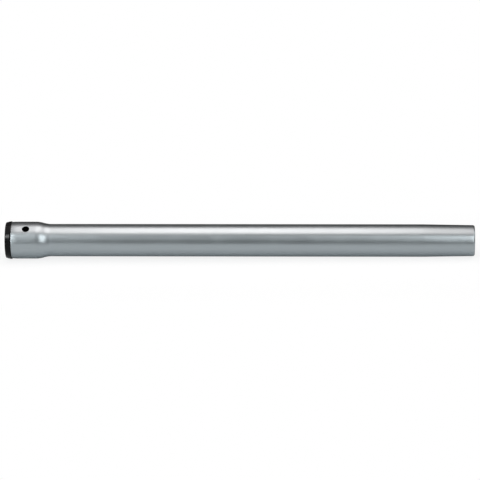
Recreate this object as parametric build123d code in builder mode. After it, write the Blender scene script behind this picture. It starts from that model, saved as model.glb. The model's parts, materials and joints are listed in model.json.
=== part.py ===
"""Vacuum cleaner extension tube, lying along X: a drawn aluminium tube with a belled socket at one end
and a tapered spigot with a rolled edge at the other, and the moulded bush that lines the socket.

The origin is on the tube's axis, in the plane of the metal tube's socket edge. +X runs towards the spigot
and +Z is up. All sizes are in millimetres.
"""

import os
from math import asin, radians, sin

from build123d import *

# Metal tube
tube_length = 500.0  # metal edge to metal edge
tube_diameter = 35.0  # outside of the plain run
tube_wall = 1.0

# Spigot: the tapered end that pushes into the next piece, with its edge rolled in
spigot_length = 55.0
spigot_taper = 1.6  # tip's diameter under the plain run's
lip_bend = 1.4  # inside radius of the rolled edge
lip_turn = 65.0  # degrees that the wall turns inwards

# Socket: the belled end, wrapped round the bush, and its neck
neck_length = 17.0  # S-shaped step from the bell down to the plain run
crown_length = 6.5  # bell's outside, drawn in slightly towards its edge
socket_grip = 0.4  # bore's diameter under the plain run's, so that a spigot jams part way down its taper

# Lock hole in the bell, for the spring button of the piece that plugs in
lock_hole_diameter = 7.8
lock_hole_from_edge = 16.1  # hole centre to the tube's socket edge
lock_hole_from_neck = 9.9  # hole centre to the end of the bell's straight part
lock_hole_roll = 33.0  # degrees from straight up, towards -Y

# Socket bush: a sleeve inside the bell, and a flange over the tube's edge
sleeve_wall = 1.65
sleeve_clearance = 0.05  # radial, sleeve in bell
sleeve_end_gap = 1.0  # sleeve's end to the start of the neck
window_clearance = 0.5  # radial, sleeve's window round the lock hole
flange_length = 6.35
flange_stand_out = 0.5  # flange's rim above the bell, radial
flange_rim_length = 1.2  # parallel part, next to the bell
flange_rim_round = 0.3
flange_taper = 1.2  # radial drop from rim to nose

# Radii from the axis
tube_radius = tube_diameter / 2
tip_radius = tube_radius - spigot_taper / 2
bore_radius = tube_radius - socket_grip / 2
sleeve_radius = bore_radius + sleeve_wall
bell_inner_radius = sleeve_radius + sleeve_clearance
bell_radius = bell_inner_radius + tube_wall
rim_radius = bell_radius + flange_stand_out
nose_radius = rim_radius - flange_taper

# Places along the axis
neck_start = lock_hole_from_edge + lock_hole_from_neck
neck_end = neck_start + neck_length
spigot_start = tube_length - spigot_length
sleeve_end = neck_start - sleeve_end_gap

# Edge breaks, each limited by its wall
tube_edge_round = 0.3 * tube_wall
crown_drop = 0.28 * tube_wall  # radial, at the bell's edge
lock_hole_edge_round = 0.25 * tube_wall
nose_round = 0.45 * (nose_radius - bore_radius)
mouth_round = 0.25 * (nose_radius - bore_radius)
sleeve_chamfer = 0.35 * sleeve_wall

# Start of the rolled edge, so that its rounded corner ends at the tube's length
lip_corner_bend = lip_bend + tube_wall - tube_edge_round
lip_corner_turn = radians(lip_turn) - asin(tube_edge_round / lip_corner_bend)
lip_start = tube_length - tube_edge_round - lip_corner_bend * sin(lip_corner_turn)

# Plane of the lock hole, through the tube's axis and facing out of the hole
lock_axis = Vector(0, 0, 1).rotate(Axis.X, lock_hole_roll)
lock_plane = Plane(origin=(lock_hole_from_edge, 0, 0), x_dir=(1, 0, 0), z_dir=lock_axis)


def neck_curve(high_radius, low_radius):
    """S-shaped step between two radii: two equal arcs, level at both ends, that meet halfway."""
    halfway = ((neck_start + neck_end) / 2, (high_radius + low_radius) / 2)
    shoulder = TangentArc((neck_start, high_radius), halfway, tangent=(1, 0))
    TangentArc(halfway, (neck_end, low_radius), tangent=shoulder % 1)


# Tube: one wall revolved about the axis, with the lock hole punched through the bell
with BuildPart() as tube:
    with BuildSketch(Plane.XY) as tube_section:
        with BuildLine():
            Line((0, bell_inner_radius), (0, bell_radius - crown_drop))
            TangentArc((crown_length, bell_radius), (0, bell_radius - crown_drop), tangent=(-1, 0))
            Line((crown_length, bell_radius), (neck_start, bell_radius))
            neck_curve(bell_radius, tube_radius)
            Polyline((neck_end, tube_radius), (spigot_start, tube_radius), (lip_start, tip_radius))
            outer_lip = JernArc((lip_start, tip_radius), (1, 0), lip_bend + tube_wall, -lip_turn)
            inner_lip = JernArc((lip_start, tip_radius - tube_wall), (1, 0), lip_bend, -lip_turn)
            Line(outer_lip @ 1, inner_lip @ 1)
            Polyline(
                (lip_start, tip_radius - tube_wall),
                (spigot_start, tube_radius - tube_wall),
                (neck_end, tube_radius - tube_wall),
            )
            neck_curve(bell_inner_radius, tube_radius - tube_wall)
            Line((neck_start, bell_inner_radius), (0, bell_inner_radius))
        make_face()
        mouth_corners = tube_section.vertices().group_by(Axis.X)[0]
        lip_corners = tube_section.vertices().sort_by(Axis.X)[-2:]
        fillet(mouth_corners + lip_corners, radius=tube_edge_round)
    revolve(axis=Axis.X)
    with BuildSketch(lock_plane):
        Circle(lock_hole_diameter / 2)
    extrude(amount=rim_radius, mode=Mode.SUBTRACT)
    hole_rims = tube.edges(Select.LAST).filter_by(GeomType.LINE, reverse=True)
    outer_rim = hole_rims.sort_by(Axis(lock_plane.origin, lock_plane.z_dir))[-1]
    fillet(outer_rim, radius=lock_hole_edge_round)
tube.part.label = "tube"

# Socket bush: flange and sleeve in one moulding, with a window behind the lock hole
with BuildPart() as socket_bush:
    with BuildSketch(Plane.XY) as bush_section:
        with BuildLine():
            Polyline(
                (-flange_length, bore_radius),
                (-flange_length, nose_radius),
                (-flange_rim_length, rim_radius),
                (0, rim_radius),
                (0, sleeve_radius),
                (sleeve_end, sleeve_radius),
                (sleeve_end, bore_radius),
                close=True,
            )
        make_face()
        corners = bush_section.vertices()
        mouth_corner, nose_corner = corners.group_by(Axis.X)[0].sort_by(Axis.Y)
        rim_corners = corners.group_by(Axis.Y)[-1]
        sleeve_end_corners = corners.group_by(Axis.X)[-1]
        fillet(mouth_corner, radius=mouth_round)
        fillet(nose_corner, radius=nose_round)
        fillet(rim_corners, radius=flange_rim_round)
        chamfer(sleeve_end_corners, length=sleeve_chamfer)
    revolve(axis=Axis.X)
    with BuildSketch(lock_plane):
        Circle(lock_hole_diameter / 2 + window_clearance)
    extrude(amount=rim_radius, mode=Mode.SUBTRACT)
socket_bush.part.label = "socket_bush"

os.makedirs("parts", exist_ok=True)
export_step(tube.part, "parts/tube.step")
export_step(socket_bush.part, "parts/socket_bush.step")
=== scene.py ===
"""Looks of a vacuum cleaner tube: a satin aluminium tube with a belled socket, and its black plastic bush.

The file is laid out as a Blender add-on and is run as a script. It builds the finished surfaces around the
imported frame, in metres, with the tube lying along X and its socket edge at the origin.
"""

import json
import math
from typing import NamedTuple

import bmesh
import bpy
import numpy as np
from mathutils import Matrix, Vector


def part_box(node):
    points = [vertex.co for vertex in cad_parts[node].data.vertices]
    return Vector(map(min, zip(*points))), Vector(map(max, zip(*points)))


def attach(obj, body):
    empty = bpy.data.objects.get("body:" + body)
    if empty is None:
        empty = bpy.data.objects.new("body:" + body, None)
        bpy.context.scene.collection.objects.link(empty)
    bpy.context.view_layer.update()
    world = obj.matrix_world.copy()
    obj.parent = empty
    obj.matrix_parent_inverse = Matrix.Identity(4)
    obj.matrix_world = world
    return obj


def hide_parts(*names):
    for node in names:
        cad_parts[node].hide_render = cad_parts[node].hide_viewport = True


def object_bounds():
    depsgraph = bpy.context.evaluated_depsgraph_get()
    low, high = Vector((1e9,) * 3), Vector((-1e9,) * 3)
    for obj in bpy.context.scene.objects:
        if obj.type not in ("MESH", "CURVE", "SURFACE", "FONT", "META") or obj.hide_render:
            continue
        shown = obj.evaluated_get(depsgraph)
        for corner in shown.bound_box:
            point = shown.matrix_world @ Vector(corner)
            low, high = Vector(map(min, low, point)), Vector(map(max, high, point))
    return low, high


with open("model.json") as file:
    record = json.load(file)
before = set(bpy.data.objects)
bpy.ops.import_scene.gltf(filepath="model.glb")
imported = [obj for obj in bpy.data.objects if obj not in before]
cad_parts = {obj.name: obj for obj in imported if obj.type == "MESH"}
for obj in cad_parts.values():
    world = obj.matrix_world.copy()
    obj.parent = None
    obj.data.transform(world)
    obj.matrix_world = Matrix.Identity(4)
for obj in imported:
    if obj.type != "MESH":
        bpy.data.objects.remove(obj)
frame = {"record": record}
cad_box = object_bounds()

bl_info = {
    "name": "Vacuum Cleaner Tube",
    "version": (1, 0, 0),
    "blender": (4, 5, 0),
    "location": "View3D > Sidebar > Vacuum Tube",
    "description": "Builds a belled vacuum cleaner tube with its socket bush, and a studio stage for it",
    "category": "Object",
}

MM = 0.001

# Sizes that the frame gives
MOUNTS = {mount["name"]: mount for mount in frame["record"]["mounts"]}
TUBE_LOW, TUBE_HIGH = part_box("tube")
BUSH_LOW, BUSH_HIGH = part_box("socket_bush")
RUN_MIDDLE = MOUNTS["tube_run"]["pos_m"][0]
RUN_LENGTH = MOUNTS["tube_run"]["dims"]["length_mm"] * MM
LOCK_PLACE = MOUNTS["lock_hole"]["pos_m"][0]
LOCK_AXIS = MOUNTS["lock_hole"]["axis"]
LOCK_TURN = math.atan2(-LOCK_AXIS[1], LOCK_AXIS[2])  # from +Z towards -Y

# Fineness of the surfaces
TURN_STEPS = 192  # round the axis
EDGE_STEPS = 6  # round a cut edge
CREASE = 0.3 * MM  # from a crease to the next points, so that smooth shading stays close to it
SHARP_EDGE = math.radians(32)  # an edge that turns by more is shaded as sharp
WELD = 1e-7  # metres; points closer than this are one point

# The patch round the lock hole, on each wall
WINDOW_HALF_LENGTH = 6.0 * MM
WINDOW_TURN_STEPS = 24  # of the steps round the axis
WINDOW_LENGTH_STEPS = 24
WINDOW_RINGS = 9  # from the patch's border to the hole
RING_CROWDING = 1.4  # power that draws these rings towards the hole
SHAFT_STEPS = 3  # down the hole, below its rim


def mount_radius(name):
    """The radius of a round mount."""
    return MOUNTS[name]["dims"]["r_mm"] * MM


def length_property(name, description, default):
    """A size in metres that a user may change."""
    return bpy.props.FloatProperty(
        name=name, description=description, default=default, min=0, precision=5, unit="LENGTH"
    )


def angle_property(name, description, degrees):
    """An angle that a user may change."""
    return bpy.props.FloatProperty(
        name=name, description=description, default=math.radians(degrees), subtype="ANGLE"
    )


def colour_property(name, description, default):
    """A linear colour that a user may change."""
    return bpy.props.FloatVectorProperty(
        name=name, description=description, default=default, min=0, max=1, size=3, subtype="COLOR"
    )


def share_property(name, description, default):
    """A share from 0 to 1 that a user may change."""
    return bpy.props.FloatProperty(
        name=name, description=description, default=default, min=0, max=1, subtype="FACTOR"
    )


class VacuumTubeSizes(bpy.types.PropertyGroup):
    """Sizes of the metal tube."""

    length: length_property("Length", "Metal edge to metal edge", TUBE_HIGH.x - TUBE_LOW.x)
    wall: length_property("Wall", "Thickness of the metal", 1.0 * MM)
    run_radius: length_property("Run radius", "Outside of the plain run", mount_radius("tube_run"))
    bell_radius: length_property("Bell radius", "Outside of the socket", TUBE_HIGH.y)
    crown_length: length_property("Crown length", "Part of the bell drawn in towards its edge", 6.5 * MM)
    crown_drop: length_property("Crown drop", "How far the bell is drawn in at its edge", 0.28 * MM)
    neck_length: length_property("Neck length", "S-shaped step from bell to run", 17.0 * MM)
    neck_end: length_property("Neck end", "Socket edge to the plain run", RUN_MIDDLE - RUN_LENGTH / 2)
    spigot_start: length_property("Spigot start", "Socket edge to the taper", RUN_MIDDLE + RUN_LENGTH / 2)
    tip_radius: length_property("Tip radius", "Outside of the spigot's tip", 16.7 * MM)
    lip_bend: length_property("Lip bend", "Inside radius of the rolled edge", 1.4 * MM)
    lip_turn: angle_property("Lip turn", "How far the wall turns inwards", 65.0)
    edge_round: length_property("Edge round", "Corners of both cut edges", 0.3 * MM)
    lock_hole_radius: length_property("Lock hole radius", "Hole in the bell", mount_radius("lock_hole"))
    lock_hole_round: length_property("Lock hole round", "Outer rim of the lock hole", 0.25 * MM)


class SocketBushSizes(bpy.types.PropertyGroup):
    """Sizes of the moulded bush."""

    bore_radius: length_property("Bore radius", "Inside of the sleeve", mount_radius("socket"))
    sleeve_wall: length_property("Sleeve wall", "Thickness of the sleeve", 1.65 * MM)
    sleeve_end: length_property("Sleeve end", "Socket edge to the sleeve's far end", BUSH_HIGH.x)
    sleeve_chamfer: length_property("Sleeve chamfer", "Both corners of the sleeve's end", 0.58 * MM)
    window_radius: length_property("Window radius", "Hole in the sleeve behind the lock hole", 4.4 * MM)
    window_round: length_property("Window round", "Outer rim of the sleeve's hole", 0.1 * MM)
    flange_length: length_property("Flange length", "Nose to the tube's edge", -BUSH_LOW.x)
    rim_radius: length_property("Rim radius", "Flange next to the bell", BUSH_HIGH.y)
    rim_length: length_property("Rim length", "Parallel part of the flange", 1.2 * MM)
    rim_round: length_property("Rim round", "Corners of the rim", 0.3 * MM)
    nose_radius: length_property("Nose radius", "Flange at its nose, before rounding", 19.3 * MM)
    nose_round: length_property("Nose round", "Outer corner of the nose", 0.9 * MM)
    mouth_round: length_property("Mouth round", "Lead-in of the bore", 0.5 * MM)


class VacuumTubeFinish(bpy.types.PropertyGroup):
    """Colours of the finishes, the floor with its painted shade further out, and the lamps overhead."""

    metal: colour_property("Metal", "Satin aluminium", (0.299, 0.336, 0.354))
    bare_metal: colour_property("Bare metal", "Dull aluminium inside the tube", (0.50, 0.52, 0.53))
    plastic: colour_property("Plastic", "Black moulding", (0.0022, 0.0022, 0.0025))
    floor: colour_property("Floor", "Pale studio floor", (0.675, 0.70, 0.71))
    # Painted shade: this darker floor colour away from the tube stands in for light falling off beyond the
    # softboxes
    painted_shade_floor: colour_property("Far floor", "Studio floor away from the tube", (0.30, 0.31, 0.315))
    overhead: colour_property("Overhead", "Warm white of the softboxes overhead", (1.0, 0.90, 0.87))


class StudioSettings(bpy.types.PropertyGroup):
    """Camera, room light and floor."""

    camera_distance: length_property("Camera distance", "Lens to the tube's middle", 3.1)
    camera_azimuth: angle_property("Camera azimuth", "From square-on towards the spigot", 2.0)
    camera_elevation: angle_property("Camera elevation", "Above the horizon", 20.0)
    camera_roll: angle_property("Camera roll", "Turn of the picture, from level with the tube", 0.065)
    aim_along: length_property("Aim along", "Picture's middle beyond the tube's middle", 0.2 * MM)
    aim_height: length_property("Aim height", "Picture's middle above the tube's axis", 0.35 * MM)
    field_width: length_property("Field width", "Width of the picture at the tube's axis", 0.519)
    floor_radius: length_property("Floor radius", "Round studio floor", 7.0)
    world_strength: bpy.props.FloatProperty(name="World strength", description="Room light", default=0.04)
    floor_glow: share_property("Floor glow", "Share of plain white in the floor beside the tube", 0.82)
    mirrored_glow: share_property("Mirrored glow", "Share of plain white in the reflected floor", 0.2)
    shadow_reach: length_property("Shadow reach", "Tube's axis to where the floor looks plain white", 0.15)
    # These three place the painted shade on the floor, a falloff of light away from the tube painted into
    # its colour; the first also starts the rise to plain white that the camera sees
    pale_reach: length_property("Pale reach", "Tube's axis to where the floor starts to darken", 0.05)
    painted_shade_reach: length_property("Dark reach", "Tube's axis to where the floor is darkest", 0.30)
    painted_shade_start: length_property("Dark start", "Socket edge to where the floor darkens fully", 0.12)


# Profiles: rows of (x, radius)


def straight(start, end, steps):
    """Points evenly spaced on the line from start to end."""
    return np.linspace(start, end, steps + 1)


def level(stations, radius):
    """Points at those stations along the tube, all at one radius."""
    return np.column_stack((stations, np.full(len(stations), radius)))


def arc(centre, radius, start, end, steps):
    """Points on a circle from angle start to angle end, in degrees: 0 is along +x and 90 outwards."""
    turn = np.radians(np.linspace(start, end, steps + 1))
    return np.column_stack((centre[0] + radius * np.cos(turn), centre[1] + radius * np.sin(turn)))


def polar(centre, radius, angle):
    """The point at that angle in degrees on the circle about centre."""
    return arc(centre, radius, angle, angle, steps=1)[0]


def s_curve(start, end, steps):
    """Two equal arcs, level at both ends, that meet halfway. Each turns by twice the angle of the chord."""
    run = end[0] - start[0]
    drop = start[1] - end[1]
    radius = (run**2 + drop**2) / (4 * drop)
    bend = math.degrees(2 * math.atan2(drop, run))
    shoulder = arc((start[0], start[1] - radius), radius, 90, 90 - bend, steps)
    foot = arc((end[0], end[1] + radius), radius, 270 - bend, 270, steps)
    return chain(shoulder, foot)


def chain(*runs):
    """Joins runs of points end to end, without the point that two neighbours share."""
    return np.concatenate([runs[0]] + [run[1:] for run in runs[1:]])


# Surfaces of revolution with a round hole through one wall


def window_stations():
    """Places along the tube of the patch round the lock hole."""
    first, last = LOCK_PLACE - WINDOW_HALF_LENGTH, LOCK_PLACE + WINDOW_HALF_LENGTH
    return np.linspace(first, last, WINDOW_LENGTH_STEPS + 1)


def turn_angles():
    """Angles round the axis from the lock hole's direction. The first steps cross the hole's patch."""
    step = 2 * math.pi / TURN_STEPS
    return (np.arange(TURN_STEPS) - WINDOW_TURN_STEPS / 2) * step


def place(along, across, up):
    """Turns the lock hole's frame (along the axis, across the hole, out of it) into the part's frame."""
    return np.stack(
        np.broadcast_arrays(
            along,
            -up * math.sin(LOCK_TURN) - across * math.cos(LOCK_TURN),
            up * math.cos(LOCK_TURN) - across * math.sin(LOCK_TURN),
        ),
        axis=-1,
    )


def revolve(loop):
    """Carries each (x, radius) of the loop round the axis: a grid of loop points by angles."""
    turn = turn_angles()[None, :]
    radius = loop[:, 1:2]
    return place(loop[:, 0:1], radius * np.sin(turn), radius * np.cos(turn))


def window_outline(stations):
    """The patch's border as (x, angle), one loop through the grid points that it shares with the wall."""
    angles = turn_angles()[: WINDOW_TURN_STEPS + 1]
    along_first = np.column_stack((stations[:-1], np.full(WINDOW_LENGTH_STEPS, angles[0])))
    up_last = np.column_stack((np.full(WINDOW_TURN_STEPS, stations[-1]), angles[:-1]))
    along_last = np.column_stack((stations[:0:-1], np.full(WINDOW_LENGTH_STEPS, angles[-1])))
    down_first = np.column_stack((np.full(WINDOW_TURN_STEPS, stations[0]), angles[:0:-1]))
    return np.concatenate((along_first, up_last, along_last, down_first))


def hole_wall(stations, outer_radius, inner_radius, hole_radius, rim_round):
    """Rings from the patch's border on the outer wall, through the hole, to its border on the inner wall.

    On a wall of radius R, a point at angle a lies R sin a across and R cos a up. Rings between a border
    and the hole's circle blend the two. The rim between the outer wall and the hole is a quarter round."""
    border = window_outline(stations)
    heading = np.arctan2(outer_radius * border[:, 1], border[:, 0] - LOCK_PLACE)[None, :]

    def sheet(radius, circle, shares):
        """Rings on one wall: share 1 is the border and share 0 the circle."""
        share = shares[:, None]
        circle_angle = np.arcsin(circle * np.sin(heading) / radius)
        along = LOCK_PLACE + circle * np.cos(heading)
        along = along + (border[None, :, 0] - along) * share
        angle = circle_angle + (border[None, :, 1] - circle_angle) * share
        return place(along, radius * np.sin(angle), radius * np.cos(angle))

    def shaft(circles, depths):
        """Rings inside the hole. Depth 0 is at the outer wall and depth 1 at the inner wall."""
        circle, depth = circles[:, None], depths[:, None]
        across = circle * np.sin(heading)
        top = np.sqrt(outer_radius**2 - across**2)
        bottom = np.sqrt(inner_radius**2 - across**2)
        return place(LOCK_PLACE + circle * np.cos(heading), across, top + (bottom - top) * depth)

    wall = outer_radius - inner_radius
    quarter = np.radians(np.linspace(0, 90, EDGE_STEPS + 1))
    rim_circles = hole_radius + rim_round * (1 - np.sin(quarter))
    rim_depths = rim_round * (1 - np.cos(quarter)) / wall
    wall_depths = np.linspace(rim_depths[-1], 1, SHAFT_STEPS + 1)[1:]
    inwards = np.linspace(1, 0, WINDOW_RINGS) ** RING_CROWDING
    outwards = np.linspace(0, 1, WINDOW_RINGS) ** RING_CROWDING
    outer_rings = sheet(outer_radius, hole_radius + rim_round, inwards)
    rim_rings = shaft(rim_circles, rim_depths)[1:]
    wall_rings = shaft(np.full(SHAFT_STEPS, hole_radius), wall_depths)
    inner_rings = sheet(inner_radius, hole_radius, outwards)[1:]
    return np.concatenate((outer_rings, rim_rings, wall_rings, inner_rings))


def grid_faces(rows, columns, closed_rows):
    """Corner numbers of a grid's cells. The grid closes across its columns, and its rows if asked."""
    row = np.arange(rows if closed_rows else rows - 1)[:, None]
    column = np.arange(columns)[None, :]
    next_row = (row + 1) % rows
    next_column = (column + 1) % columns
    corners = (
        row * columns + column,
        row * columns + next_column,
        next_row * columns + next_column,
        next_row * columns + column,
    )
    return np.stack(np.broadcast_arrays(*corners), axis=-1)


def holed_wall(outer, inner, stations, hole_radius, rim_round):
    """Points and faces of a wall of revolution between two profiles, with a round hole through it.

    Both profiles run from the socket end to the far end. The loop of the two is carried round the axis, the
    cells of the patch are left out on both walls, and the rings of the hole take their place."""
    loop = np.concatenate((outer, inner[::-1]))
    wall = revolve(loop)
    faces = grid_faces(len(loop), TURN_STEPS, closed_rows=True)
    on_patch = np.isclose(loop[:, None, 0], stations[None, :], rtol=0, atol=WELD).any(axis=1)
    outer_rows = np.flatnonzero(on_patch[: len(outer)])
    inner_rows = np.flatnonzero(on_patch[len(outer) :]) + len(outer)
    kept = np.ones(faces.shape[:2], bool)
    for rows in (outer_rows, inner_rows):
        kept[rows[0] : rows[-1], :WINDOW_TURN_STEPS] = False
    outer_radius = loop[outer_rows[0], 1]
    inner_radius = loop[inner_rows[0], 1]
    rings = hole_wall(stations, outer_radius, inner_radius, hole_radius, rim_round)
    ring_faces = grid_faces(len(rings), rings.shape[1], closed_rows=False)
    points = np.concatenate((wall.reshape(-1, 3), rings.reshape(-1, 3)))
    quads = np.concatenate((faces[kept], ring_faces.reshape(-1, 4) + wall.shape[0] * wall.shape[1]))
    return points, quads


def add_object(name, data):
    """A new object in the scene, at the origin."""
    item = bpy.data.objects.new(name, data)
    bpy.context.scene.collection.objects.link(item)
    return item


def build_piece(name, points, quads, material):
    """A shown piece from points and four-cornered faces. Points that no face uses are dropped, shared
    borders are welded, normals point outwards and the shading is smooth."""
    used, corners = np.unique(quads, return_inverse=True)
    mesh = bpy.data.meshes.new(name)
    mesh.from_pydata(points[used], [], corners.reshape(quads.shape))
    surface = bmesh.new()
    surface.from_mesh(mesh)
    bmesh.ops.remove_doubles(surface, verts=surface.verts, dist=WELD)
    bmesh.ops.recalc_face_normals(surface, faces=surface.faces)
    if any(not edge.is_manifold for edge in surface.edges):
        raise RuntimeError(f"{name} isn't closed")
    surface.to_mesh(mesh)
    surface.free()
    mesh.polygons.foreach_set("use_smooth", np.ones(len(mesh.polygons), bool))
    mesh.set_sharp_from_angle(angle=SHARP_EDGE)
    mesh.materials.append(material)
    return add_object(name, mesh)


# Profiles of the two pieces


def tube_walls(sizes, stations):
    """Outer and inner profile of the metal tube: crowned edge, bell, neck, run, taper and rolled lip."""
    edge = sizes.edge_round
    neck_start = sizes.neck_end - sizes.neck_length
    bell, tip = sizes.bell_radius, sizes.tip_radius

    # The rounds of the lip's corners touch the cut edge, which points at the centre of the lip's bend
    inner_bend = sizes.lip_bend
    outer_bend = inner_bend + sizes.wall
    cut = -math.degrees(sizes.lip_turn)
    outer_end = 90 + cut + math.degrees(math.asin(edge / (outer_bend - edge)))
    inner_end = 90 + cut + math.degrees(math.asin(edge / (inner_bend + edge)))
    lip_start = sizes.length - edge - (outer_bend - edge) * math.cos(math.radians(outer_end))
    bend_centre = (lip_start, tip - outer_bend)

    def middle(inset, bell_start):
        """One wall from the bell to the lip, inset from the outside, with close stations at each crease."""
        bell_high, run_high, tip_high = (radius - inset for radius in (bell, sizes.run_radius, tip))
        run_start, run_end = sizes.neck_end + CREASE, sizes.spigot_start - CREASE
        taper_start = sizes.spigot_start + CREASE
        taper_high = run_high + (tip_high - run_high) * CREASE / (lip_start - sizes.spigot_start)
        return chain(
            straight((bell_start, bell_high), (stations[0], bell_high), steps=4),
            level(stations, bell_high),
            straight((stations[-1], bell_high), (neck_start, bell_high), steps=6),
            s_curve((neck_start, bell_high), (sizes.neck_end, run_high), steps=20),
            straight((sizes.neck_end, run_high), (run_start, run_high), steps=1),
            straight((run_start, run_high), (run_end, run_high), steps=24),
            straight((run_end, run_high), (sizes.spigot_start, run_high), steps=1),
            straight((sizes.spigot_start, run_high), (taper_start, taper_high), steps=1),
            straight((taper_start, taper_high), (lip_start, tip_high), steps=12),
        )

    # The crown is one arc, level where it leaves the bell
    crown = (sizes.crown_length**2 + sizes.crown_drop**2) / (2 * sizes.crown_drop)
    crown_centre = (sizes.crown_length, bell - crown)
    mouth_rise = math.sqrt((crown - edge) ** 2 - (sizes.crown_length - edge) ** 2)
    mouth_end = math.degrees(math.atan2(mouth_rise, edge - sizes.crown_length))
    outer = chain(
        arc((edge, crown_centre[1] + mouth_rise), edge, 180, mouth_end, EDGE_STEPS),
        arc(crown_centre, crown, mouth_end, 90, steps=10),
        middle(0, sizes.crown_length),
        arc(bend_centre, outer_bend, 90, outer_end, steps=10),
        arc(polar(bend_centre, outer_bend - edge, outer_end), edge, outer_end, cut, EDGE_STEPS),
    )
    inner = chain(
        arc((edge, bell - sizes.wall + edge), edge, 180, 270, EDGE_STEPS),
        middle(sizes.wall, edge),
        arc(bend_centre, inner_bend, 90, inner_end, steps=8),
        arc(polar(bend_centre, inner_bend + edge, inner_end), edge, inner_end - 180, cut, EDGE_STEPS),
    )
    return outer, inner


def bush_walls(sizes, stations):
    """Outer and inner profile of the bush: rounded nose, tapered flange, rim, sleeve and chamfered end."""
    nose = -sizes.flange_length
    bore = sizes.bore_radius
    sleeve = bore + sizes.sleeve_wall
    chamfer = sizes.sleeve_chamfer
    chamfer_start = sizes.sleeve_end - chamfer
    mouth = sizes.mouth_round

    # The nose's round touches the front face and the leaning side of the flange
    rise, run = sizes.rim_radius - sizes.nose_radius, sizes.flange_length - sizes.rim_length
    lean = math.degrees(math.atan2(rise, run))
    nose_reach = sizes.nose_round * math.tan(math.radians((90 - lean) / 2))
    nose_centre = (nose + sizes.nose_round, sizes.nose_radius - nose_reach)
    nose_arc = arc(nose_centre, sizes.nose_round, 180, 90 + lean, EDGE_STEPS + 4)
    rim_top = sizes.rim_radius - sizes.rim_round
    rim_reach = sizes.rim_round * math.tan(math.radians(lean / 2))
    rim_front = arc((-sizes.rim_length + rim_reach, rim_top), sizes.rim_round, 90 + lean, 90, EDGE_STEPS)
    rim_back = arc((-sizes.rim_round, rim_top), sizes.rim_round, 90, 0, EDGE_STEPS)
    outer = chain(
        nose_arc,
        straight(nose_arc[-1], rim_front[0], steps=6),
        rim_front,
        straight(rim_front[-1], rim_back[0], steps=2),
        rim_back,
        straight(rim_back[-1], (0, sleeve), steps=3),
        straight((0, sleeve), (stations[0], sleeve), steps=8),
        level(stations, sleeve),
        straight((stations[-1], sleeve), (chamfer_start, sleeve), steps=4),
        straight((chamfer_start, sleeve), (sizes.sleeve_end, sleeve - chamfer), steps=2),
    )
    inner = chain(
        arc((nose + mouth, bore + mouth), mouth, 180, 270, EDGE_STEPS + 2),
        straight((nose + mouth, bore), (stations[0], bore), steps=12),
        level(stations, bore),
        straight((stations[-1], bore), (chamfer_start, bore), steps=4),
        straight((chamfer_start, bore), (sizes.sleeve_end, bore + chamfer), steps=2),
    )
    return outer, inner


# Shader nodes


def add_node(tree, kind, inputs=None, **settings):
    """A node with its settings. Its inputs, by name or number, get values or are linked to sockets."""
    node = tree.nodes.new(kind)
    for name, value in settings.items():
        setattr(node, name, value)
    for name, value in (inputs or {}).items():
        if isinstance(value, bpy.types.NodeSocket):
            tree.links.new(value, node.inputs[name])
        else:
            node.inputs[name].default_value = value
    return node


def new_material(name):
    """An empty node material and its tree."""
    material = bpy.data.materials.new(name)
    material.use_nodes = True
    material.node_tree.nodes.clear()
    return material, material.node_tree


def math_node(tree, operation, *values):
    """The result of a Math node on sockets or values."""
    return add_node(tree, "ShaderNodeMath", dict(enumerate(values)), operation=operation).outputs["Value"]


def ramp(tree, value, low, high, to_low, to_high):
    """Maps a value's range smoothly to another range."""
    node = add_node(
        tree,
        "ShaderNodeMapRange",
        {"Value": value, "From Min": low, "From Max": high, "To Min": to_low, "To Max": to_high},
        interpolation_type="SMOOTHSTEP",
    )
    return node.outputs["Result"]


def colour_mix(tree, share, first, second):
    """A colour that goes from the first to the second as the share goes from 0 to 1."""
    first_input, second_input, colour_output = 6, 7, 2  # the Mix node has like-named sockets for each type
    inputs = {"Factor": share, first_input: (*first, 1), second_input: (*second, 1)}
    return add_node(tree, "ShaderNodeMix", inputs, data_type="RGBA").outputs[colour_output]


def stretched_noise(tree, vector, per_metre, detail):
    """Noise with its own fineness along each axis, in waves a metre."""
    mapping = add_node(tree, "ShaderNodeMapping", {"Vector": vector, "Scale": per_metre})
    noise_inputs = {"Vector": mapping.outputs["Vector"], "Scale": 1.0, "Detail": detail}
    return add_node(tree, "ShaderNodeTexNoise", noise_inputs).outputs["Fac"]


def handling_marks_group():
    """Soft smudges from handling: cloudy noise whose middle range becomes a mask from 0 to Amount."""
    name = "Handling Marks"
    if name in bpy.data.node_groups:
        return bpy.data.node_groups[name]
    group = bpy.data.node_groups.new(name, "ShaderNodeTree")
    group.interface.new_socket("Vector", in_out="INPUT", socket_type="NodeSocketVector")
    group.interface.new_socket("Scale", in_out="INPUT", socket_type="NodeSocketFloat")
    group.interface.new_socket("Amount", in_out="INPUT", socket_type="NodeSocketFloat")
    group.interface.new_socket("Mask", in_out="OUTPUT", socket_type="NodeSocketFloat")
    given = add_node(group, "NodeGroupInput").outputs
    cloud = add_node(
        group,
        "ShaderNodeTexNoise",
        {"Vector": given["Vector"], "Scale": given["Scale"], "Detail": 4.0, "Roughness": 0.55},
    )
    clean_below, marked_above = 0.38, 0.68
    mask = ramp(group, cloud.outputs["Fac"], clean_below, marked_above, 0.0, given["Amount"])
    add_node(group, "NodeGroupOutput", {"Mask": mask})
    return group


def handling_marks(tree, vector, scale, amount):
    """The mask of the handling marks group, placed in a material with its own values."""
    inputs = {"Vector": vector, "Scale": scale, "Amount": amount}
    return add_node(tree, "ShaderNodeGroup", inputs, node_tree=handling_marks_group()).outputs["Mask"]


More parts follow.
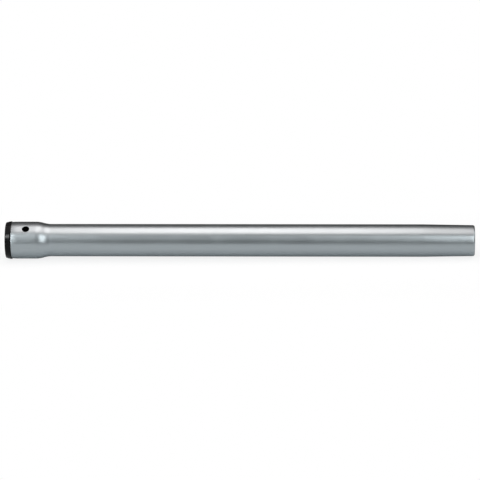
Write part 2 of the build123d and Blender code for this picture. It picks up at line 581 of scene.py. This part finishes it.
def inside_mask(tree, coordinates):
    """1 where the surface faces the axis: there the normal times the place across the axis is negative."""
    facing_in, facing_along = -12.0 * MM, -4.0 * MM
    across_inputs = {0: coordinates["Object"], 1: (0, 1, 1)}
    across = add_node(tree, "ShaderNodeVectorMath", across_inputs, operation="MULTIPLY").outputs["Vector"]
    facing_inputs = {0: across, 1: coordinates["Normal"]}
    facing = add_node(tree, "ShaderNodeVectorMath", facing_inputs, operation="DOT_PRODUCT").outputs["Value"]
    return ramp(tree, facing, facing_in, facing_along, 1.0, 0.0)


# Materials


def satin_aluminium(colours, sizes):
    """Drawn aluminium: lengthwise lines in colour, roughness and bump, handling marks, a spigot that is
    rubbed smoother, and a duller inside."""
    material, tree = new_material("Satin Aluminium")
    coordinates = add_node(tree, "ShaderNodeTexCoord").outputs
    vector = coordinates["Object"]
    fine_lines = stretched_noise(tree, vector, per_metre=(4.0, 2600.0, 2600.0), detail=2.0)
    broad_lines = stretched_noise(tree, vector, per_metre=(5.0, 420.0, 420.0), detail=3.0)
    inside = inside_mask(tree, coordinates)

    darkest, tone_range = 0.95, 0.10
    tone = math_node(tree, "MULTIPLY_ADD", broad_lines, tone_range, darkest)
    metal = colour_mix(tree, inside, colours.metal, colours.bare_metal)
    shade = add_node(tree, "ShaderNodeVectorMath", {0: metal, "Scale": tone}, operation="SCALE")

    line_low, line_high = 0.25, 0.75
    smoothest, roughest = 0.29, 0.34
    mark_dulling, rub_polish, inside_dulling = 0.025, 0.012, 0.2
    rub_start, rub_full = sizes.spigot_start - 2.0 * MM, sizes.spigot_start + 4.0 * MM
    along = add_node(tree, "ShaderNodeSeparateXYZ", {"Vector": vector}).outputs["X"]
    rough = ramp(tree, fine_lines, line_low, line_high, smoothest, roughest)
    rough = math_node(tree, "ADD", rough, handling_marks(tree, vector, scale=38.0, amount=mark_dulling))
    rough = math_node(tree, "SUBTRACT", rough, ramp(tree, along, rub_start, rub_full, 0.0, rub_polish))
    rough = math_node(tree, "MULTIPLY_ADD", inside, inside_dulling, rough)

    inside_metallic = 0.5
    bump = add_node(tree, "ShaderNodeBump", {"Strength": 0.12, "Distance": 0.04 * MM, "Height": fine_lines})
    shader = add_node(
        tree,
        "ShaderNodeBsdfPrincipled",
        {
            "Base Color": shade.outputs["Vector"],
            "Metallic": ramp(tree, inside, 0.0, 1.0, 1.0, inside_metallic),
            "Specular Tint": (0.52, 0.52, 0.52, 1),
            "Roughness": rough,
            "Normal": bump.outputs["Normal"],
        },
    )
    add_node(tree, "ShaderNodeOutputMaterial", {"Surface": shader.outputs["BSDF"]})
    return material


def black_plastic(colours):
    """Black moulding: fine spark-eroded grain, a soft sheen, and paler handling marks."""
    material, tree = new_material("Black Plastic")
    vector = add_node(tree, "ShaderNodeTexCoord").outputs["Object"]
    grain = stretched_noise(tree, vector, per_metre=(5200.0, 5200.0, 5200.0), detail=2.0)
    marks = handling_marks(tree, vector, scale=120.0, amount=1.0)

    mark_paling = 1.9
    tint = colour_mix(tree, marks, colours.plastic, mark_paling * Vector(colours.plastic))

    grain_low, grain_high = 0.3, 0.7
    smoothest, roughest = 0.16, 0.22
    mark_dulling = 0.06
    rough = ramp(tree, grain, grain_low, grain_high, smoothest, roughest)
    rough = math_node(tree, "MULTIPLY_ADD", marks, mark_dulling, rough)

    bump = add_node(tree, "ShaderNodeBump", {"Strength": 0.2, "Distance": 0.03 * MM, "Height": grain})
    shader = add_node(
        tree,
        "ShaderNodeBsdfPrincipled",
        {
            "Base Color": tint,
            "Roughness": rough,
            "Specular IOR Level": 0.095,
            "Normal": bump.outputs["Normal"],
        },
    )
    add_node(tree, "ShaderNodeOutputMaterial", {"Surface": shader.outputs["BSDF"]})
    return material


def studio_floor(colours, settings):
    """Matt floor, pale beside the tube and darker further out, but pale all over beside the socket: the
    darker colour is painted shade, a falloff of light away from the tube.
    To the camera and in reflections it is mixed with plain white, and near the tube it keeps the shadow."""
    material, tree = new_material("Studio Floor")
    vector = add_node(tree, "ShaderNodeTexCoord").outputs["Object"]
    axes = add_node(tree, "ShaderNodeSeparateXYZ", {"Vector": vector}).outputs
    across = math_node(tree, "ABSOLUTE", axes["Y"])
    # Painted shade: the floor colour darkens away from the tube as a painted falloff of light, left out
    # beside the socket
    past_socket = ramp(tree, axes["X"], 0.0, settings.painted_shade_start, 0.0, 1.0)
    far = ramp(tree, across, settings.pale_reach, settings.painted_shade_reach, 0.0, past_socket)
    colour = colour_mix(tree, far, colours.floor, colours.painted_shade_floor)
    matt = add_node(tree, "ShaderNodeBsdfDiffuse", {"Color": colour})
    white = add_node(tree, "ShaderNodeEmission", {"Color": (1, 1, 1, 1), "Strength": 1.0})

    path = add_node(tree, "ShaderNodeLightPath").outputs
    seen_glow = ramp(tree, across, settings.pale_reach, settings.shadow_reach, settings.floor_glow, 1.0)
    seen = math_node(tree, "MULTIPLY", path["Is Camera Ray"], seen_glow)
    # In reflections the plain white fades out with the same painted shade further from the tube
    mirrored_glow = ramp(tree, far, 0.0, 1.0, settings.mirrored_glow, 0.0)
    mirrored = math_node(tree, "MAXIMUM", path["Is Glossy Ray"], path["Is Transmission Ray"])
    mirrored = math_node(tree, "MULTIPLY", mirrored, mirrored_glow)
    white_share = math_node(tree, "ADD", seen, mirrored)
    mix_inputs = {"Fac": white_share, 1: matt.outputs["BSDF"], 2: white.outputs["Emission"]}
    mix = add_node(tree, "ShaderNodeMixShader", mix_inputs)
    add_node(tree, "ShaderNodeOutputMaterial", {"Surface": mix.outputs["Shader"]})
    return material


# Stage

FLOOR_SIDES = 96
SENSOR_WIDTH = 36.0  # in millimetres, as Blender's lens is
PLAIN_WHITE = (1, 1, 1)


class Softbox(NamedTuple):
    """A rectangular lamp that faces the tube's middle, or a point shifted from it, in metres."""

    name: str
    azimuth: float  # degrees from square-on, on the camera's side, towards the spigot
    elevation: float  # degrees
    distance: float
    width: float
    height: float
    radiance: float
    warm: bool = False
    shift: tuple = (0, 0, 0)


# A bright softbox and a broad dim one overhead, with dim ones before and behind them, one high up beyond
# the spigot, one past each end of the tube, an upright one on each side of the camera, with a low one on
# the left, and a small key
SOFTBOXES = (
    Softbox("softbox_overhead", 180, 87.5, 1.9, 0.75, 1.65, 2.95, warm=True, shift=(-0.1, 0, 0)),
    Softbox("softbox_ceiling", 180, 82, 2.6, 6.0, 2.8, 0.88, warm=True),
    Softbox("softbox_front_high", 0, 60, 3.0, 6.0, 0.7, 0.35, warm=True),
    Softbox("softbox_back_high", 180, 40, 4.0, 6.0, 1.6, 0.25, warm=True),
    Softbox("softbox_high_side", 90, 70, 4.0, 2.6, 0.9, 1.6, warm=True, shift=(0, 0.3, 0)),
    Softbox("softbox_spigot_side", 76, 36, 3.0, 4.0, 2.2, 1.4),
    Softbox("softbox_socket_side", -90, 36, 3.0, 2.4, 2.2, 0.9),
    Softbox("softbox_left", -26, 28, 3.0, 0.3, 2.8, 6.7),
    Softbox("softbox_left_low", -30, 11, 3.0, 0.3, 1.0, 5.6),
    Softbox("softbox_right", 22.5, 29.5, 3.0, 0.6, 2.4, 6.2),
    Softbox("softbox_key", -46, 34.5, 3.0, 0.4, 0.95, 29.0),
)


def direction(azimuth, elevation):
    """The way out from the tube. Azimuth 0 is square-on, on the camera's side; angles are in radians."""
    flat = math.cos(elevation)
    return Vector((math.sin(azimuth) * flat, -math.cos(azimuth) * flat, math.sin(elevation)))


def make_floor(settings, colours, tube, bush):
    """A round floor, tilted to touch the tube where it rests: at the bush's rim and the taper's start."""
    rise = (bush.rim_radius - tube.run_radius) / tube.spigot_start
    turn = np.linspace(0, 2 * math.pi, FLOOR_SIDES, endpoint=False)
    along = tube.length / 2 + settings.floor_radius * np.cos(turn)
    across = settings.floor_radius * np.sin(turn)
    points = np.column_stack((along, across, along * rise - bush.rim_radius))
    mesh = bpy.data.meshes.new("studio_floor")
    mesh.from_pydata(points, [], [list(range(FLOOR_SIDES))])
    mesh.materials.append(studio_floor(colours, settings))
    floor = add_object("studio_floor", mesh)


def make_softbox(box, target, warm_white):
    """One of the softboxes, hidden from the camera."""
    lamp = bpy.data.lights.new(box.name, "AREA")
    lamp.shape = "RECTANGLE"
    lamp.size = box.width
    lamp.size_y = box.height
    lamp.energy = box.radiance * math.pi * box.width * box.height
    lamp.color = warm_white if box.warm else PLAIN_WHITE
    away = direction(math.radians(box.azimuth), math.radians(box.elevation))
    stand = Matrix.Translation(target + Vector(box.shift) + away * box.distance)
    item = add_object(box.name, lamp)
    item.matrix_world = stand @ away.to_track_quat("Z", "Y").to_matrix().to_4x4()
    item.visible_camera = False


def make_world(strength):
    """Even room light."""
    world = bpy.data.worlds.new("studio_room")
    world.use_nodes = True
    tree = world.node_tree
    tree.nodes.clear()
    background = add_node(tree, "ShaderNodeBackground", {"Color": (*PLAIN_WHITE, 1), "Strength": strength})
    add_node(tree, "ShaderNodeOutputWorld", {"Surface": background.outputs["Background"]})
    bpy.context.scene.world = world


def make_camera(settings, target):
    """A long lens that looks at the target, its picture level with the tube and then rolled a little."""
    data = bpy.data.cameras.new("camera")
    data.sensor_width = SENSOR_WIDTH
    data.lens = SENSOR_WIDTH * settings.camera_distance / settings.field_width
    back = direction(settings.camera_azimuth, settings.camera_elevation)
    right = (Vector((1, 0, 0)) - back * back.x).normalized()
    up = back.cross(right)
    axes = Matrix((right, up, back)).transposed() @ Matrix.Rotation(settings.camera_roll, 3, "Z")
    aim = target + right * settings.aim_along + up * settings.aim_height
    camera = add_object("camera", data)
    camera.matrix_world = Matrix.Translation(aim + back * settings.camera_distance) @ axes.to_4x4()
    bpy.context.scene.camera = camera


# Operators


class VACUUMTUBE_OT_tube(bpy.types.Operator):
    """Build the metal tube's finished surface in place of its solid"""

    bl_idname = "vacuum_tube.build_tube"
    bl_label = "Build Tube"

    def execute(self, context):
        sizes = context.scene.vacuum_tube_sizes
        stations = window_stations()
        outer, inner = tube_walls(sizes, stations)
        points, quads = holed_wall(outer, inner, stations, sizes.lock_hole_radius, sizes.lock_hole_round)
        finish = satin_aluminium(context.scene.vacuum_tube_finish, sizes)
        piece = build_piece("metal_tube", points, quads, finish)
        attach(piece, "root")
        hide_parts("tube")
        return {"FINISHED"}


class VACUUMTUBE_OT_bush(bpy.types.Operator):
    """Build the socket bush's finished surface in place of its solid"""

    bl_idname = "vacuum_tube.build_bush"
    bl_label = "Build Socket Bush"

    def execute(self, context):
        sizes = context.scene.vacuum_tube_bush
        stations = window_stations()
        outer, inner = bush_walls(sizes, stations)
        points, quads = holed_wall(outer, inner, stations, sizes.window_radius, sizes.window_round)
        finish = black_plastic(context.scene.vacuum_tube_finish)
        piece = build_piece("moulded_bush", points, quads, finish)
        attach(piece, "root")
        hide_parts("socket_bush")
        return {"FINISHED"}


class VACUUMTUBE_OT_stage(bpy.types.Operator):
    """Set up the floor, lamps, room light and camera"""

    bl_idname = "vacuum_tube.build_stage"
    bl_label = "Build Stage"

    def execute(self, context):
        scene = context.scene
        settings = scene.vacuum_tube_studio
        colours = scene.vacuum_tube_finish
        target = Vector(((cad_box[0].x + cad_box[1].x) / 2, 0, 0))
        make_floor(settings, colours, scene.vacuum_tube_sizes, scene.vacuum_tube_bush)
        for box in SOFTBOXES:
            make_softbox(box, target, colours.overhead)
        make_world(settings.world_strength)
        make_camera(settings, target)
        scene.view_settings.view_transform = "Standard"
        return {"FINISHED"}


class VACUUMTUBE_PT_panel(bpy.types.Panel):
    """Sizes, colours and build steps of the vacuum tube"""

    bl_idname = "VACUUMTUBE_PT_panel"
    bl_label = "Vacuum Tube"
    bl_space_type = "VIEW_3D"
    bl_region_type = "UI"
    bl_category = "Vacuum Tube"

    def draw(self, context):
        for group_name, _ in SETTINGS:
            values = getattr(context.scene, group_name)
            column = self.layout.column(align=True)
            for name in values.__annotations__:
                column.prop(values, name)
        for operator in (VACUUMTUBE_OT_tube, VACUUMTUBE_OT_bush, VACUUMTUBE_OT_stage):
            self.layout.operator(operator.bl_idname)


SETTINGS = (
    ("vacuum_tube_sizes", VacuumTubeSizes),
    ("vacuum_tube_bush", SocketBushSizes),
    ("vacuum_tube_finish", VacuumTubeFinish),
    ("vacuum_tube_studio", StudioSettings),
)
CLASSES = (
    VacuumTubeSizes,
    SocketBushSizes,
    VacuumTubeFinish,
    StudioSettings,
    VACUUMTUBE_OT_tube,
    VACUUMTUBE_OT_bush,
    VACUUMTUBE_OT_stage,
    VACUUMTUBE_PT_panel,
)


def register():
    """Registers the classes and hangs the settings on the scene."""
    for cls in CLASSES:
        bpy.utils.register_class(cls)
    for name, group in SETTINGS:
        setattr(bpy.types.Scene, name, bpy.props.PointerProperty(type=group))


def unregister():
    """Takes back what register did."""
    for name, _ in SETTINGS:
        delattr(bpy.types.Scene, name)
    for cls in reversed(CLASSES):
        bpy.utils.unregister_class(cls)


def main():
    """Registers the add-on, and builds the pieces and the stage."""
    register()
    bpy.ops.vacuum_tube.build_tube()
    bpy.ops.vacuum_tube.build_bush()
    bpy.ops.vacuum_tube.build_stage()


if __name__ == "__main__":
    main()
